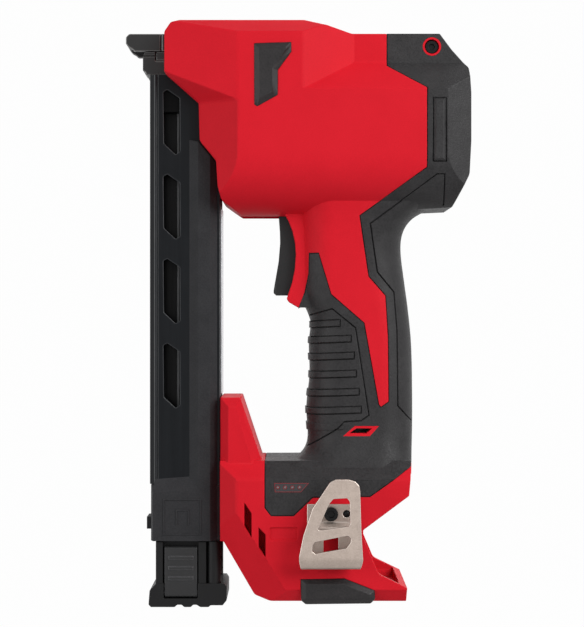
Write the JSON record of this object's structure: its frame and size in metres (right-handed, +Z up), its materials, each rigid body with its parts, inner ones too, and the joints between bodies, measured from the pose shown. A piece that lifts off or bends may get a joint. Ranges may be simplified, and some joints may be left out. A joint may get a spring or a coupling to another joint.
{
  "type": "cordless cable stapler",
  "caption": "Hand-held cordless cable stapler: faceted two-tone housing, rear battery bay, trigger, tall staple magazine at the front, belt hook and motor-driven spring driver.",
  "frame": {"origin": "middle of the middle land under the end piece of the magazine slide, which the tool stands on", "axes": "+X from the nose to the back of the tool, along the drive axis; +Y to the right side as seen by the person who holds it; +Z up along the magazine"},
  "size_m": [0.1348, 0.0714, 0.229],
  "materials": {
    "red_shell": "fine moulded texture",
    "black_overmould": "soft matt",
    "pad_rubber": "matt",
    "gauge_lens": "smoked",
    "black_plastic": "satin",
    "contact_metal": "tin plated",
    "circuit_board": "solder mask",
    "hook_steel": "plated satin",
    "black_screw": "black oxide",
    "insert_brass": "plain",
    "nose_steel": "black phosphate",
    "steel": "ground",
    "spring_steel": "oil tempered",
    "gear_steel": "greased",
    "cast_frame": "die cast",
    "motor_steel": "plated",
    "magazine_metal": "black anodised",
    "bright_strip": "bright",
    "cover_plastic": "fine texture"
  },
  "bodies": {
    "tool_body": {"housing_left": "red_shell", "housing_right": "red_shell", "overmould_left": "black_overmould", "overmould_right": "black_overmould", "body_pad_left": "pad_rubber", "body_pad_right": "pad_rubber", "foot_pad_left": "pad_rubber", "foot_pad_right": "pad_rubber", "gauge_window": "gauge_lens", "terminal_block": "black_plastic", "terminal_positive": "contact_metal", "terminal_negative": "contact_metal", "control_board": "circuit_board", "trigger_switch": "black_plastic", "belt_hook": "hook_steel", "belt_hook_screw": "black_screw", "hook_insert_left": "insert_brass", "hook_insert_right": "insert_brass", "case_screw_rear": "black_screw", "case_screw_neck": "black_screw", "case_screw_base": "black_screw", "nose_frame": "nose_steel", "contact_spring": "spring_steel", "front_plate": "steel", "rear_plate": "steel", "bumper": "pad_rubber", "guide_rod_left": "steel", "guide_rod_right": "steel", "drive_spring_left": "spring_steel", "drive_spring_right": "spring_steel", "ring_gear": "gear_steel", "drive_frame": "cast_frame", "motor_can": "motor_steel", "motor_end_cap": "black_plastic", "motor_stator": "motor_steel", "magazine_body": "magazine_metal", "magazine_strip": "bright_strip", "magazine_cover": "cover_plastic"},
    "trigger": {"trigger": "black_plastic"},
    "work_contact": {"work_contact": "nose_steel"},
    "lifter": {"lifter_shaft": "gear_steel", "lifter_gear": "gear_steel"},
    "driver": {"carriage": "cast_frame", "driver_blade": "steel", "rack": "gear_steel"},
    "mid_gears": {"mid_shaft": "gear_steel", "bevel_gear": "gear_steel"},
    "carrier": {"planet_carrier": "gear_steel", "bevel_pinion": "gear_steel"},
    "rotor": {"motor_rotor": "motor_steel", "sun_gear": "gear_steel"},
    "planet_1": {"planet_gear_1": "gear_steel"},
    "planet_2": {"planet_gear_2": "gear_steel"},
    "planet_3": {"planet_gear_3": "gear_steel"},
    "magazine_slide": {"slide_end": "black_plastic", "slide_track": "nose_steel"},
    "follower": {"staple_follower": "black_plastic", "follower_spring": "spring_steel"},
    "latch_left": {"latch_left": "black_plastic"},
    "latch_right": {"latch_right": "black_plastic"}
  },
  "joints": [
    {"name": "trigger_pull", "type": "slide", "parent": "tool_body", "child": "trigger", "axis": [1, 0, 0], "range_m": [0, 0.005], "stiffness_N_per_m": 600, "springref_m": -0.005},
    {"name": "contact_press", "type": "slide", "parent": "tool_body", "child": "work_contact", "axis": [1, 0, 0], "range_m": [0, 0.005], "stiffness_N_per_m": 400, "springref_m": -0.004, "deforming": ["contact_spring"]},
    {"name": "motor_spin", "type": "hinge", "parent": "tool_body", "child": "rotor", "pos_m": [0.0848, 0, 0.18251], "axis": [1, 0, 0], "range_deg": [0, 1410.82]},
    {"name": "carrier_turn", "type": "hinge", "parent": "tool_body", "child": "carrier", "pos_m": [0.0755, 0, 0.18251], "axis": [1, 0, 0], "range_deg": [0, 282.96]},
    {"name": "mid_turn", "type": "hinge", "parent": "tool_body", "child": "mid_gears", "pos_m": [0.0592, 0, 0.18251], "axis": [0, 1, 0], "range_deg": [-141.98, 0]},
    {"name": "lifter_turn", "type": "hinge", "parent": "tool_body", "child": "lifter", "pos_m": [0.0502, 0, 0.1981], "axis": [0, 1, 0], "range_deg": [0, 222.54]},
    {"name": "driver_draw", "type": "slide", "parent": "tool_body", "child": "driver", "axis": [1, 0, 0], "range_m": [0, 0.029], "stiffness_N_per_m": 400, "springref_m": -0.015, "deforming": ["drive_spring_left", "drive_spring_right"]},
    {"name": "planet_1_turn", "type": "hinge", "parent": "carrier", "child": "planet_1", "pos_m": [0.0783, 0, 0.19151], "axis": [1, 0, 0], "range_deg": [-752.91, 0]},
    {"name": "planet_2_turn", "type": "hinge", "parent": "carrier", "child": "planet_2", "pos_m": [0.0783, -0.00779, 0.17801], "axis": [1, 0, 0], "range_deg": [-752.91, 0]},
    {"name": "planet_3_turn", "type": "hinge", "parent": "carrier", "child": "planet_3", "pos_m": [0.0783, 0.00779, 0.17801], "axis": [1, 0, 0], "range_deg": [-752.91, 0]},
    {"name": "magazine_draw", "type": "slide", "parent": "tool_body", "child": "magazine_slide", "axis": [0, 0, -1], "range_m": [0, 0.16]},
    {"name": "follower_feed", "type": "slide", "parent": "magazine_slide", "child": "follower", "axis": [0, 0, -1], "range_m": [0, 0.15], "stiffness_N_per_m": 20, "springref_m": -0.3},
    {"name": "latch_left_pinch", "type": "hinge", "parent": "magazine_slide", "child": "latch_left", "pos_m": [-0.00265, -0.0128, 0.0056], "axis": [-1, 0, 0], "range_deg": [0, 2], "stiffness_Nm_per_rad": 0.5, "springref_deg": -5.73},
    {"name": "latch_right_pinch", "type": "hinge", "parent": "magazine_slide", "child": "latch_right", "pos_m": [-0.00265, 0.0128, 0.0056], "axis": [1, 0, 0], "range_deg": [0, 2], "stiffness_Nm_per_rad": 0.5, "springref_deg": -5.73}
  ],
  "couplings": [
    {"joint": "lifter_turn", "follows": "driver_draw", "rad_per_m": 133.33},
    {"joint": "mid_turn", "follows": "driver_draw", "rad_per_m": -84.848},
    {"joint": "carrier_turn", "follows": "driver_draw", "rad_per_m": 169.7},
    {"joint": "motor_spin", "follows": "driver_draw", "rad_per_m": 848.48},
    {"joint": "planet_1_turn", "follows": "driver_draw", "rad_per_m": -452.53},
    {"joint": "planet_2_turn", "follows": "driver_draw", "rad_per_m": -452.53},
    {"joint": "planet_3_turn", "follows": "driver_draw", "rad_per_m": -452.53}
  ]
}
